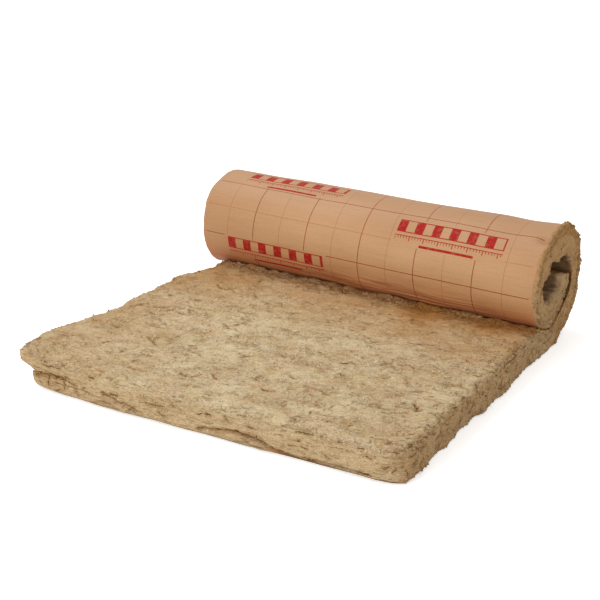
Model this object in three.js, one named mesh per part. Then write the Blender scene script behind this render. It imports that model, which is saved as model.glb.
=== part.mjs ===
import * as THREE from 'three';

// Kraft-faced mineral-wool blanket, sold rolled and shown partly unrolled.
// Millimetres, +Z up. The roll's axis runs along X, the laid stretch comes out towards -Y,
// and the origin is the middle of the underside's rectangle.

// ---------------------------------------------------------------- driving dimensions

const FACING_WIDTH = 1200;       // kraft paper, edge to edge along the roll
const WOOL_OVERHANG = 11;        // wool standing proud of the paper at each side
const FACING_THICKNESS = 0.6;
const GLUE_GAP = 0.3;            // paper to wool
const LAID_LENGTH = 1050;        // front edge of the blanket to the point below the roll's axis
const LAID_LOFT = 101;           // wool thickness where nothing presses on it
const FRONT_EDGE_RADIUS = 26;    // fluffed upper edge of the free end
const HEEL_RADIUS = 14;          // lower edge of the free end
const INNER_END_RADIUS = 14;     // paper-side edge of the wound end
const INNER_LIP_RADIUS = 24;     // wool-side edge of the wound end
const SIDE_FLUFF = 6;            // rounding of the long side edges
const PRESS_LENGTH = 60;         // run over which the laid wool dips under the roll
const WINDING_STEP = 6;          // degrees between neighbouring sections of the winding

// The winding, about the roll's axis: degrees turned from the floor line, and radius in mm.
// A quarter turn reaches the back, a half the top, three quarters the front, one turn the nip.
const FACING_RADIUS = [
  [0, 210], [45, 207], [90, 200], [135, 187], [180, 174], [225, 169], [270, 167],
  [300, 157], [330, 147], [345, 137], [360, 126], [375, 115], [390, 107], [405, 107],
  [420, 112], [435, 112], [448, 109],
];
// Free space between the first turn's wool and the paper of the second turn.
const TURN_GAP = [
  [-38, 5], [-20, 4], [0, 5], [15, 12], [30, 17], [45, 21], [60, 27], [75, 28], [88, 25],
];
// Wool side past the part that follows the second turn: the crown, the front and the core.
const WOOL_RADIUS = [
  [88, 134], [112, 128], [133, 110], [150, 82], [165, 70], [182, 72], [204, 85], [218, 77],
  [237, 74], [249, 104], [258, 108], [270, 98], [285, 84], [310, 70], [325, 57], [342, 41],
  [360, 34], [390, 42], [420, 47], [440, 37],
];
const INNER_END_CORNER = [24, 26];   // inner corner of the wound end, from the roll's axis

// ---------------------------------------------------------------- the side profile

const AXIS_HEIGHT = FACING_RADIUS[0][1];
const END_TURN = FACING_RADIUS[FACING_RADIUS.length - 1][0];
const FOLLOW_START = TURN_GAP[0][0];
const FOLLOW_END = TURN_GAP[TURN_GAP.length - 1][0];
const FULL_TURN = 360;

// Smooth value at a station: a cubic through the four nearest ones.
function smoothAt(stations, at) {
  const last = stations.length - 1;
  let i = 0;
  while (i < last - 1 && at > stations[i + 1][0]) i += 1;
  const [x0, y0] = stations[i];
  const [x1, y1] = stations[i + 1];
  const slope = (a, b) => (stations[b][1] - stations[a][1]) / (stations[b][0] - stations[a][0]);
  const m0 = i > 0 ? slope(i - 1, i + 1) : 0;
  const m1 = i + 1 < last ? slope(i, i + 2) : slope(i, i + 1);
  const span = x1 - x0;
  const t = THREE.MathUtils.clamp((at - x0) / span, 0, 1);
  const h00 = (1 + 2 * t) * (1 - t) ** 2;
  const h10 = t * (1 - t) ** 2;
  const h01 = t * t * (3 - 2 * t);
  const h11 = t * t * (t - 1);
  return h00 * y0 + h10 * span * m0 + h01 * y1 + h11 * span * m1;
}

// A point of the winding, in the (Y, Z) plane with the axis at (0, AXIS_HEIGHT).
function windingPoint(turned, radius) {
  const a = THREE.MathUtils.degToRad(turned - 90);
  return new THREE.Vector2(radius * Math.cos(a), AXIS_HEIGHT + radius * Math.sin(a));
}

const facingRadius = (turned) => smoothAt(FACING_RADIUS, turned);

function woolRadius(turned) {
  if (turned > FOLLOW_END) return smoothAt(WOOL_RADIUS, turned);
  return facingRadius(turned + FULL_TURN) + smoothAt(TURN_GAP, turned);
}

function turnSteps(from, to) {
  const count = Math.ceil((to - from) / WINDING_STEP);
  return Array.from({ length: count + 1 }, (_, i) => from + (i / count) * (to - from));
}

// The face that carries the paper, from the free end to the wound end, moved inwards by inset.
function facedSide(inset) {
  return [
    new THREE.Vector2(-LAID_LENGTH + HEEL_RADIUS, inset),
    ...turnSteps(0, END_TURN).map((turned) => windingPoint(turned, facingRadius(turned) - inset)),
  ];
}

// The bare wool side, from the wound end back to where the roll stops pressing on it.
function bareSide() {
  const coreEnd = WOOL_RADIUS[WOOL_RADIUS.length - 1][0];
  const wound = turnSteps(FOLLOW_START, coreEnd)
    .map((turned) => windingPoint(turned, woolRadius(turned)));
  const [dipEnd, next] = wound;
  const dip = new THREE.CubicBezierCurve(
    new THREE.Vector2(dipEnd.x - PRESS_LENGTH, LAID_LOFT),
    new THREE.Vector2(dipEnd.x - PRESS_LENGTH / 2, LAID_LOFT),
    dipEnd.clone().sub(next.clone().sub(dipEnd).setLength(PRESS_LENGTH / 3)),
    dipEnd,
  ).getPoints(6).slice(0, -1);
  return [...dip, ...wound].reverse();
}

// The points of a run that lie further than radius from a corner.
const clearOf = (points, corner, radius) => points.filter((p) => p.distanceTo(corner) > radius);

// The corner b of the path a, b, c rounded by a curve that starts and ends radius away from b.
function rounded(a, b, c, radius) {
  const start = b.clone().add(a.clone().sub(b).setLength(radius));
  const end = b.clone().add(c.clone().sub(b).setLength(radius));
  return new THREE.QuadraticBezierCurve(start, b, end).getPoints(4);
}

function woolOutline() {
  const inset = FACING_THICKNESS + GLUE_GAP;
  const heel = new THREE.Vector2(-LAID_LENGTH, inset);
  const brow = new THREE.Vector2(-LAID_LENGTH, LAID_LOFT);
  const outerCorner = windingPoint(END_TURN, facingRadius(END_TURN) - inset);
  const innerCorner = windingPoint(0, 0).add(new THREE.Vector2(...INNER_END_CORNER));
  const faced = clearOf(facedSide(inset), outerCorner, INNER_END_RADIUS);
  const bare = clearOf(bareSide(), innerCorner, INNER_LIP_RADIUS);
  return [
    ...faced,
    ...rounded(faced[faced.length - 1], outerCorner, innerCorner, INNER_END_RADIUS),
    ...rounded(outerCorner, innerCorner, bare[0], INNER_LIP_RADIUS),
    ...bare,
    ...rounded(bare[bare.length - 1], brow, heel, FRONT_EDGE_RADIUS),
    ...rounded(brow, heel, faced[0], HEEL_RADIUS).slice(0, -1),
  ];
}

// The paper reaches from one rounded end of the blanket to the other.
function facingOutline() {
  const end = windingPoint(END_TURN, facingRadius(END_TURN));
  const face = (inset) => clearOf(facedSide(inset), end, INNER_END_RADIUS);
  return [...face(0), ...face(FACING_THICKNESS).reverse()];
}

// ---------------------------------------------------------------- the two pieces

// Shape x is the part's Y, shape y its Z, and the extrusion runs along X.
const PROFILE_TO_PART = new THREE.Matrix4().makeBasis(
  new THREE.Vector3(0, 1, 0),
  new THREE.Vector3(0, 0, 1),
  new THREE.Vector3(1, 0, 0),
);

function piece(name, outline, width, fluff, material) {
  const geometry = new THREE.ExtrudeGeometry(new THREE.Shape(outline), {
    depth: width - 2 * fluff,
    steps: 1,
    bevelEnabled: fluff > 0,
    bevelThickness: fluff,
    bevelSize: fluff,
    bevelOffset: -fluff,
    bevelSegments: 2,
  });
  geometry.translate(0, 0, -width / 2 + fluff);
  geometry.applyMatrix4(PROFILE_TO_PART);
  const mesh = new THREE.Mesh(geometry, material);
  mesh.name = name;
  return mesh;
}

const wool = new THREE.MeshStandardMaterial({ color: 0xb39a72, roughness: 0.95, metalness: 0 });
const kraft = new THREE.MeshStandardMaterial({ color: 0xc89d76, roughness: 0.7, metalness: 0 });

const roll = new THREE.Group();
roll.add(
  piece('wool_blanket', woolOutline(), FACING_WIDTH + 2 * WOOL_OVERHANG, SIDE_FLUFF, wool),
  piece('kraft_facing', facingOutline(), FACING_WIDTH, 0, kraft),
);

// Centre the footprint on the origin: the winding's furthest point back against the free end.
const backReach = Math.max(...facedSide(0).map((point) => point.x));
roll.position.y = (LAID_LENGTH - backReach) / 2;

export default roll;
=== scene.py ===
"""Kraft-faced mineral-wool blanket, partly unrolled: the dressed model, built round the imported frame."""

import math

import bpy
import numpy as np
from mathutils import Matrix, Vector


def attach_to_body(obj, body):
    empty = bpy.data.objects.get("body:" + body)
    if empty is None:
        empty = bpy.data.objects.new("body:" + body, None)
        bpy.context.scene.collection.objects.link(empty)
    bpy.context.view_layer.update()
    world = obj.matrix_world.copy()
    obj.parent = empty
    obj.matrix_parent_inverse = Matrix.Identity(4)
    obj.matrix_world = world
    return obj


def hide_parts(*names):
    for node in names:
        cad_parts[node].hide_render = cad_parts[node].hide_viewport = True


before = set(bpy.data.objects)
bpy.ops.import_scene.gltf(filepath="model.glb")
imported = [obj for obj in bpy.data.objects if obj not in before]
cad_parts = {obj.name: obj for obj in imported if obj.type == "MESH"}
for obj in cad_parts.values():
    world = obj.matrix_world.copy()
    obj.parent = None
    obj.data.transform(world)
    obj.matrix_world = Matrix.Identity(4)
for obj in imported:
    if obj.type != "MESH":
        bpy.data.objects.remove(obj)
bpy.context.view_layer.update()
scene = bpy.context.scene
join = np.concatenate

# ---- camera

VIEW_AZIMUTH = math.radians(30.8)
VIEW_ELEVATION = math.radians(22.83)
EYE = (2.019, -3.483, 1.873)
LENS, SENSOR = 85.19, 36
NEAREST, FURTHEST = 0.1, 60


def stand(name, data, place, facing):
    """Puts a camera or lamp in the scene, looking along facing."""
    obj = bpy.data.objects.new(name, data)
    obj.location = place
    obj.rotation_mode = "QUATERNION"
    obj.rotation_quaternion = facing.to_track_quat("-Z", "Y")
    scene.collection.objects.link(obj)
    return obj


towards_eye = Vector(
    (
        math.sin(VIEW_AZIMUTH) * math.cos(VIEW_ELEVATION),
        -math.cos(VIEW_AZIMUTH) * math.cos(VIEW_ELEVATION),
        math.sin(VIEW_ELEVATION),
    )
)
camera_data = bpy.data.cameras.new("camera")
camera_data.lens, camera_data.sensor_width = LENS, SENSOR
camera_data.clip_start, camera_data.clip_end = NEAREST, FURTHEST
scene.camera = stand("camera", camera_data, EYE, -towards_eye)

# ---- noise and smooth steps

NOISE_HEIGHT = 1.6  # brings the gradient noise to about -1 to 1
OCTAVE_SHIFT = (17.3, -9.1, 4.7)

rng = np.random.RandomState(2207)
shuffled = join([rng.permutation(256)] * 3)


def length(v):
    return np.linalg.norm(v, axis=-1)


def unit(v):
    return v / np.maximum(length(v), 1e-12)[..., None]


slopes = unit(rng.normal(size=(256, 3)))


def noise(x, y, z=0):
    """Gradient noise, about -1 to 1, one cell per unit."""
    place = np.stack(np.broadcast_arrays(x, y, z), -1).astype(float)
    cell = np.floor(place).astype(int)
    inside = place - cell
    near = inside * inside * inside * (inside * (inside * 6 - 15) + 10)
    shares = (1 - near, near)
    total = np.zeros(place.shape[:-1])
    for corner in np.ndindex(2, 2, 2):
        c = (cell + corner) & 255
        slope = slopes[shuffled[shuffled[shuffled[c[..., 0]] + c[..., 1]] + c[..., 2]]]
        share = shares[corner[0]][..., 0] * shares[corner[1]][..., 1] * shares[corner[2]][..., 2]
        total += share * (slope * (inside - corner)).sum(-1)
    return total * NOISE_HEIGHT


def clouds(x, y, z=0, octaves=3, gain=0.5):
    """Layers of noise, each half as wide as the last and gain times as high."""
    total, height, heights = 0, 1, 0
    for i in range(octaves):
        total = total + height * noise(*(v * 2**i + shift * i for v, shift in zip((x, y, z), OCTAVE_SHIFT)))
        heights += height
        height *= gain
    return total / heights


def smooth(start, full, v):
    """0 at start, 1 at full, with a soft step between; start may be above full."""
    t = np.clip((v - start) / (full - start), 0, 1)
    return t * t * (3 - 2 * t)


def run_of(path):
    """How far along the path each of its points is."""
    return join([[0], np.cumsum(length(np.diff(path, axis=0)))])


def stretches(first, *pieces):
    """Stations from first on; each piece says where it ends and in how many steps it gets there."""
    stations = [first]
    for end, steps in pieces:
        stations.extend(np.linspace(stations[-1], end, steps + 1)[1:])
    return np.array(stations)


def band(v, start, full, falling, gone):
    """1 between full and falling, softly down to 0 at start and gone."""
    return smooth(start, full, v) * smooth(gone, falling, v)


def bell(v, middle, width):
    return np.exp(-(((v - middle) / width) ** 2))


def hermite(v, xs, ys):
    """Smooth interpolation through stations, never overshooting them."""
    xs, ys = np.asarray(xs, float), np.asarray(ys, float)
    gap = np.diff(xs)
    rise = np.diff(ys) / gap
    slope = np.zeros_like(xs)
    slope[0], slope[-1] = rise[0], rise[-1]
    before, after = 2 * gap[1:] + gap[:-1], gap[1:] + 2 * gap[:-1]
    with np.errstate(divide="ignore", invalid="ignore"):
        between = (before + after) / (before / rise[:-1] + after / rise[1:])
    slope[1:-1] = np.where(rise[:-1] * rise[1:] > 0, between, 0)
    v = np.clip(v, xs[0], xs[-1])
    i = np.clip(np.searchsorted(xs, v, side="right") - 1, 0, len(gap) - 1)
    t = (v - xs[i]) / gap[i]
    return (
        (1 + 2 * t) * (1 - t) ** 2 * ys[i]
        + t * (1 - t) ** 2 * gap[i] * slope[i]
        + t * t * (3 - 2 * t) * ys[i + 1]
        + t * t * (t - 1) * gap[i] * slope[i + 1]
    )


# ---- profile, read from the frame

DEGREE = 0.003  # run of the wound part's u for each degree turned
WOUND_END = 448
WOOL_SECTION_X, FACING_SECTION_X = 0.605, 0.6
ON_SECTION = 2e-4
FRONT_POINTS, END_POINTS = 4, 5  # points of the outline on each rounded corner
OUTER_FREE, INNER_FREE, FACING_FREE = 440.5, 422, 437  # degrees at which each end's rounding begins
INNER_CORNER = (0.024, 0.026)  # inner corner of the wound end, from the axis
AXIS_Z = 0.21


def section_loop(node, x):
    """The node's outline in the plane X = x, as an ordered loop of (Y, Z) from its front, underside first."""
    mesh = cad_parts[node].data
    corners_at = np.array([vertex.co for vertex in mesh.vertices])
    points, same = np.unique(np.round(corners_at, 5), axis=0, return_inverse=True)
    on = abs(points[:, 0] - x) < ON_SECTION
    links = {}
    for face in mesh.polygons:
        corners = same.ravel()[list(face.vertices)]
        for a, b in zip(corners, np.roll(corners, -1)):
            if on[a] and on[b] and not on[corners].all():
                links.setdefault(a, set()).add(b)
                links.setdefault(b, set()).add(a)
    start = min(links, key=lambda i: (round(points[i, 1], 4), points[i, 2]))
    loop = [start, min(links[start], key=lambda i: points[i, 2])]
    while True:
        onward = [i for i in links[loop[-1]] if i != loop[-2]]
        if onward[0] == start:
            return points[loop, 1:]
        loop.append(onward[0])


wool_loop = section_loop("wool_blanket", WOOL_SECTION_X)
facing_loop = section_loop("kraft_facing", FACING_SECTION_X)
FRONT_Y = wool_loop[:, 0].min()
LOFT = wool_loop[-FRONT_POINTS:, 1].max()
# The facing's lowest point at the back of the laid stretch lies straight below the axis.
AXIS_Y = facing_loop[1, 0]
AXIS = (AXIS_Y, AXIS_Z)
U_FRONT = FRONT_Y - AXIS_Y
U_END = WOUND_END * DEGREE


def turned(points):
    """Degrees wound round the axis, from the point below it, unwrapped along the line."""
    a = np.arctan2(points[:, 1] - AXIS_Z, points[:, 0] - AXIS_Y)
    return np.degrees(np.unwrap(a)) + 90


class Side:
    """One side of a sheet in section: height over the laid part, radius over the wound part."""

    def __init__(self, points, angle, free, corner=None):
        keep = angle <= free
        order = np.argsort(angle[keep])
        points, angle = points[keep][order], angle[keep][order]
        laid, wound = angle <= 0.5, angle > -45
        self.laid_u, self.laid_z = points[laid, 0] - AXIS_Y, points[laid, 1]
        self.angle = angle[wound]
        self.radius = np.hypot(*(points[wound] - AXIS).T)
        self.free, self.corner = free, corner

    def at(self, u):
        """(Y, Z) at u: metres behind the axis's foot while laid, then DEGREE a degree."""
        u = np.asarray(u, float)
        degrees = np.clip(u / DEGREE, 0, None)
        held = np.clip(degrees, 0, self.free)
        r = hermite(held, self.angle, self.radius)
        a = np.radians((held if self.corner else degrees) - 90)
        wound = np.stack([AXIS_Y + r * np.cos(a), AXIS_Z + r * np.sin(a)], -1)
        if self.corner:
            t = np.clip((degrees - self.free) / (WOUND_END - self.free), 0, 1)[..., None]
            wound = wound + (np.array(AXIS) + self.corner - wound) * t
        laid = np.stack([AXIS_Y + u, hermite(u, self.laid_u, self.laid_z)], -1)
        return np.where((u < 0)[..., None], laid, wound)


wool_angle, facing_angle = turned(wool_loop), turned(facing_loop)
wool_tip, facing_tip = int(np.argmax(wool_angle)), int(np.argmax(facing_angle))
paper_part = slice(FRONT_POINTS, wool_tip - END_POINTS)
bare_part = slice(wool_tip + END_POINTS, -FRONT_POINTS)
paper_side = Side(wool_loop[paper_part], wool_angle[paper_part], OUTER_FREE)
bare_side = Side(wool_loop[bare_part], wool_angle[bare_part], INNER_FREE, INNER_CORNER)
facing_side = Side(facing_loop[: facing_tip + 1], facing_angle[: facing_tip + 1], FACING_FREE)

# ---- how the blanket lies

HALF = 0.611  # half the wool's width


def millimetres(*values):
    return np.array(values) / 1000


# Stations in pairs of rows: where, then how far the blanket is shifted there. They are placed one by one,
# except the rags. RIGHT_RAGS are read off the photo's outline as a scratch script measured it. LEFT_RAGS
# were fitted to that outline once by a scratch script, and most of them were then set again by hand.
FRONT_EDGE = (
    millimetres(-611, -590, -550, -350, 0, 350, 530, 570, 595, 611),
    millimetres(4, -10, -18, -22, -10, 4, 10, 18, 30, 46),
)
LEFT_TOP = (
    millimetres(-1050, -950, -800, -620, -400, -250, -120, 0, 300, 600, 1350),
    millimetres(-34, -48, -30, -10, 16, 40, 60, 36, 24, 22, 22),
)
LEFT_LOW = (
    millimetres(-1050, -950, -700, -400, -150, 0, 300, 600, 1350),
    millimetres(-8, -10, -12, 0, 20, 20, 21, 22, 22),
)
RIGHT = (millimetres(-1050, -900, -400, 0, 1350), millimetres(0, 5, 4, 3, 3))
LEFT_RAGS = (
    millimetres(
        -1060, -1020, -980, -930, -880, -840, -800, -760, -720, -680, -640, -600,
        -570, -530, -490, -450, -410, -370, -330, -290, -250, -210, -160, -80,
    ),
    millimetres(-3, -5, 0, 3, 2, -2, -8, -13, -10, -11, -15, -10, 0, 0, 4, 1, -1, 6, 16, 12, 0, -8, -6, 0),
)
RIGHT_RAGS = (
    millimetres(
        -960, -910, -870, -840, -812, -780, -740, -700, -650, -622, -598, -567, -538,
        -510, -450, -420, -360, -320, -250, -200, -167, -100, -65, -30, 5, 50,
    ),
    millimetres(2, -3, -7, -8, 2, -1, -4, -7, -2, -6, -9, 0, 9, 2, 0, 9, 9, 3, -2, -5, 5, 4, 8, 6, 8, 0),
)
# how far the roll's right rim flares, and how far any rim stands out past the paper, by degrees turned
RIM_FLARE = ([0, 45, 90, 140, 185, 222, 250, 290, 330, 448], millimetres(0, 1, 4, 8, 7, 6, 2, -2, -2, 0))
RIM_OUT = (
    [0, 30, 60, 130, 150, 158, 170, 200, 230, 260, 320, 448],
    millimetres(0, 3, 6, 5, 8, 10, 4, 3, 6, 3, 1, 0),
)


def lying_shift(u, t, x):
    """Where the real blanket departs from the straight one: shifts along u and x, in metres."""
    edge = np.interp(x, *FRONT_EDGE) - 0.022 * smooth(-0.53, -0.61, x) * smooth(0.5, 0.75, t)
    rough_edge = 0.006 * noise(x / 0.13, t * 1.5, 30) * smooth(-0.9, -1.03, u)
    along = edge * smooth(-0.42, -0.95, u) + rough_edge
    upper = smooth(0.38, 0.56 + 0.34 * smooth(-0.8, -0.97, u), t)
    left_top = hermite(u, *LEFT_TOP) - hermite(u, *LEFT_RAGS)
    left_low = hermite(u, *LEFT_LOW)
    left = left_low + (left_top - left_low) * upper
    left = left + 0.016 * smooth(0.3, 0, t) * smooth(-0.88, -1.03, u)
    torn = 0.003 * noise(u / 0.075, 3, 1) + 0.003 * noise(u / 0.03, 9, 1)
    left = left + upper * smooth(-0.1, -0.3, u) * torn
    right = hermite(u, *RIGHT) + smooth(0.1, -0.1, u) * 0.006 * noise(u / 0.09, 5 + t, 7)
    right = right + smooth(0.75, 0.25, t) * hermite(u, *RIGHT_RAGS)
    return along, np.where(x < 0, left, right) * smooth(0.45, 1, abs(x) / HALF)


def roll_set(u, x, outer):
    """Radial set of the wound part, in metres, lower to the left and flared at the right.

    outer is 1 on the facing and 0 inside the wool.
    """
    a = u / DEGREE
    low_left = -0.009 * band(a, 60, 120, 285, 345) * np.clip((0.6 - x) / 1.2, 0, 1) ** 1.4
    flare = hermite(a, *RIM_FLARE) * smooth(0.47, 0.61, x) * outer
    nick = -0.013 * bell(a, 203, 5.5) * smooth(0.56, 0.604, x) * outer
    belly = 0.0022 * noise(x * 4.1 + 3, a / 34, 1.7) * smooth(20, 70, a) * smooth(400, 340, a) * outer
    sag = 0.008 * smooth(-0.52, -0.597, x) * bell(a, 338, 13) * outer
    brow = 0.012 * bell(a, 224, 24) + 0.006 * bell(a, 306, 20)
    crown = 0.005 * bell(x, 0.33, 0.13) * bell(a, 178, 40)
    return low_left + flare + (nick + belly) + sag + (brow * smooth(-0.22, -0.6, x) + crown) * outer


def push_out(points, u, amount):
    """Moves the wound part's points away from the axis."""
    out = points.copy()
    out[..., 1:] += unit(points[..., 1:] - AXIS) * (amount * (u > 0))[..., None]
    return out


# ---- mesh helpers


def quads(rows, flip=False):
    """Faces between index rows of one length."""
    a, b = rows[:-1], rows[1:]
    faces = np.stack([a[:, :-1], a[:, 1:], b[:, 1:], b[:, :-1]], -1).reshape(-1, 4)
    return [tuple(face[::-1] if flip else face) for face in faces.tolist()]


def zipper(a, xa, b, xb, flip=False):
    """Triangles between two rows of different lengths."""
    faces, i, j = [], 0, 0
    while i < len(a) - 1 or j < len(b) - 1:
        if j == len(b) - 1 or (i < len(a) - 1 and xa[i + 1] <= xb[j + 1] + 1e-9):
            face = (a[i], a[i + 1], b[j])
            i += 1
        else:
            face = (a[i], b[j + 1], b[j])
            j += 1
        faces.append(tuple(int(v) for v in (face[::-1] if flip else face)))
    return faces


def on_grid(grid, values, i, j):
    """The values at fractional rows i and columns j of a grid of their indices."""
    i, j = (np.clip(v, 0, size - 1.001) for v, size in zip((i, j), grid.shape))
    a, b = i.astype(int), j.astype(int)
    fi, fj = (i - a)[:, None], (j - b)[:, None]
    near, far = (values[grid[row, b]] * (1 - fj) + values[grid[row, b + 1]] * fj for row in (a, a + 1))
    return near * (1 - fi) + far * fi


def vertex_normals(points, faces):
    """Unit normals at the points, each face weighted by its area."""
    total = np.zeros_like(points)
    for size, (a, b, c, d) in ((3, (0, 1, 0, 2)), (4, (0, 2, 1, 3))):
        corners = np.array([face for face in faces if len(face) == size])
        if len(corners):
            p = points[corners]
            facing = np.cross(p[:, b] - p[:, a], p[:, d] - p[:, c])
            for k in range(size):
                np.add.at(total, corners[:, k], facing)
    return unit(total)


def make_mesh(name, points, faces, material):
    mesh = bpy.data.meshes.new(name)
    mesh.from_pydata(points.tolist(), [], faces)
    mesh.polygons.foreach_set("use_smooth", [True] * len(mesh.polygons))
    mesh.materials.append(material)
    mesh.update()
    obj = bpy.data.objects.new(name, mesh)
    scene.collection.objects.link(obj)
    return obj


def paint(obj, **fields):
    """Values at the points, or one for all of them, which the material reads by name."""
    for name, values in fields.items():
        layer = obj.data.attributes.new(name, "FLOAT", "POINT")
        layer.data.foreach_set("value", np.full(len(obj.data.vertices), values, np.float32))


# ---- the wool's cage

NIP = -0.1  # behind here the laid wool's upper side is under the roll
LAYERS = 20
FINE_COLUMNS, LAID_ROWS, NIP_ROWS, WOUND_ROWS = 244, 190, 8, 298
EDGE_STEPS = np.array([0, 0.006, 0.012, 0.02, 0.03, 0.045, 0.065, 0.09, 0.13, 0.18, 0.25, 0.34, 0.45])
fine_x = np.linspace(-HALF, HALF, FINE_COLUMNS + 1)
coarse_x = join([-HALF + EDGE_STEPS, [0], (HALF - EDGE_STEPS)[::-1]])
u_rows = stretches(U_FRONT, (NIP, LAID_ROWS), (0, NIP_ROWS), (U_END, WOUND_ROWS))
t_rows = np.linspace(0, 1, LAYERS + 1)
cage = []


def add(u, t, x):
    """New cage points over a grid of u, t and x; returns their indices."""
    grid = np.stack(np.broadcast_arrays(u, t, x), -1).astype(float)
    first = sum(len(points) for points in cage)
    cage.append(grid.reshape(-1, 3))
    return first + np.arange(len(cage[-1])).reshape(grid.shape[:-1])


left_side = add(u_rows[:, None], t_rows[None, :], -HALF)
right_side = add(u_rows[:, None], t_rows[None, :], HALF)


def cage_row(i, j, xs):
    """The points across row i at layer j, from one cut side to the other."""
    return join([[left_side[i, j]], add(u_rows[i], t_rows[j], xs[1:-1]), [right_side[i, j]]])


def broad_side(layer, fine_rows):
    return [cage_row(i, layer, fine_x if i < fine_rows else coarse_x) for i in range(len(u_rows))]


def cut_face(i, xs):
    return np.array([paper_rows[i], *(cage_row(i, j, xs) for j in range(1, LAYERS)), bare_rows[i]])


paper_rows = broad_side(0, 1)
bare_rows = broad_side(-1, LAID_ROWS + 1)
top_grid = np.array(bare_rows[: LAID_ROWS + 1])
front_grid = cut_face(0, fine_x)
wool_faces = quads(left_side) + quads(right_side, flip=True)
wool_faces += zipper(paper_rows[0], fine_x, paper_rows[1], coarse_x, flip=True)
wool_faces += quads(np.array(paper_rows[1:]), flip=True)
wool_faces += quads(top_grid)
wool_faces += zipper(bare_rows[LAID_ROWS], fine_x, bare_rows[LAID_ROWS + 1], coarse_x)
wool_faces += quads(np.array(bare_rows[LAID_ROWS + 1 :]))
wool_faces += quads(front_grid)
wool_faces += quads(cut_face(len(u_rows) - 1, coarse_x), flip=True)
U, T, X = join(cage).T

# Rounded edges: each point near an edge is drawn back to a ball inside it.
END_SCALE = 0.44  # metres of wound end for each unit of u
GAP_FULL, GAP_GONE = 88 * DEGREE, 100 * DEGREE  # the gap between the two turns closes here
INNER_TURN = (338 * DEGREE, 346 * DEGREE)  # the second turn comes down on the first here


def thickness(u):
    return length(bare_side.at(u) - paper_side.at(u))


depth = T * thickness(U)
room = thickness(U) - depth
front_corner = smooth(0.1, 0, U - U_FRONT)
high_up = smooth(0.2, 0.8, T)
radius_here = 0.01 - 0.005 * smooth(0, 0.1, U) + (0.012 - 0.002 * smooth(0, 0.3, U)) * high_up
radius_here = radius_here + (0.014 + 0.026 * high_up - radius_here) * front_corner
radius_here *= 1 - 0.62 * (smooth(-0.45, -0.58, X) * smooth(0.45, 0.65, T) * front_corner)
radius_here *= 1 - 0.6 * smooth(-0.5, -0.6, X) * smooth(0.5, 0.8, T) * (U < 0)
at_gap = band(U, -0.15, -0.09, GAP_FULL, GAP_GONE) * smooth(0.5, 0.8, T)
at_gap = np.maximum(at_gap, smooth(*INNER_TURN, U) * smooth(0.5, 0.2, T))
radius_here = np.minimum(radius_here * (1 - 0.68 * at_gap), 0.45 * thickness(U))
past_front, past_end, past_side, past_low, past_high = (
    np.clip(radius_here - inset, 0, None)
    for inset in (U - U_FRONT, (U_END - U) * END_SCALE, HALF - abs(X), depth, room)
)
pull = np.stack([past_end - past_front, np.sign(X) * past_side, past_high - past_low], -1)
move = pull * (np.clip(radius_here / np.maximum(length(pull), 1e-9), 0, 1)[:, None] - 1)
u_in = U + move[:, 0] / np.where(past_end > 0, END_SCALE, 1)
x_in = X + move[:, 1]
t_in = np.clip((depth + move[:, 2]) / thickness(u_in), 0, 1)

shift_u, shift_x = lying_shift(u_in, t_in, x_in)
u_at, x_at = u_in + shift_u, x_in + shift_x
low, high = paper_side.at(u_at), bare_side.at(u_at)
base = join([x_at[:, None], low + (high - low) * t_in[:, None]], 1)
base = push_out(base, u_at, roll_set(u_at, x_at, 1 - smooth(0, 0.7, t_in)))
# the front left corner's upper layers curl up a little
base[:, 2] += 0.016 * smooth(-0.47, -0.62, X) * smooth(-0.66, -0.84, U) * smooth(0.35, 0.9, t_in)
up = unit(join([np.zeros((len(U), 1)), high - low], 1))
normal = vertex_normals(base, wool_faces)

# ---- the wool's relief

FLAT_X = 0.594  # between here and its other side the wool lies flat against the paper
GRAIN_TURN = math.radians(-11)  # the matted streaks run a little askew across the blanket
RUN_SCALE, INNER_SCALE = 1.15, 0.6  # metres along the wool and along its inner side, for each unit of u

toward_bare = (normal * up).sum(1)
topness = smooth(0.35, 0.85, toward_bare)
under = smooth(0.35, 0.85, -toward_bare)
sideness = np.clip(1 - topness - under, 0, 1)
wound_run = np.where(U > 0, U * RUN_SCALE, U)


def askew(along):
    """Coordinates across and along the streaks."""
    turn_x, turn_y = math.cos(GRAIN_TURN), math.sin(GRAIN_TURN)
    return X * turn_x - along * turn_y, X * turn_y + along * turn_x


def crease(x, y, z, width):
    """1 on thin wandering lines, 0 elsewhere."""
    return smooth(width, 0, abs(noise(x, y, z)))


def matted(size_x, size_u, shift=0):
    return grain_x / size_x + shift, grain_u / size_u


def felted(size, layer, shift=0):
    return X / size, wound_run / size, depth / layer + shift


grain_x, grain_u = askew(np.where(U > 0, U * INNER_SCALE, U))
# 1 in torn, fibrous clusters and 0 in the smooth patches between them
busy = smooth(-0.3, 0.38, clouds(*matted(0.085, 0.055), depth / 0.08 + 19, octaves=4, gain=0.7))
on_front = smooth(0.35, 0.8, -normal[:, 1]) * (U < -0.9)
right_rim = smooth(0.42, 0.58, X)

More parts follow.
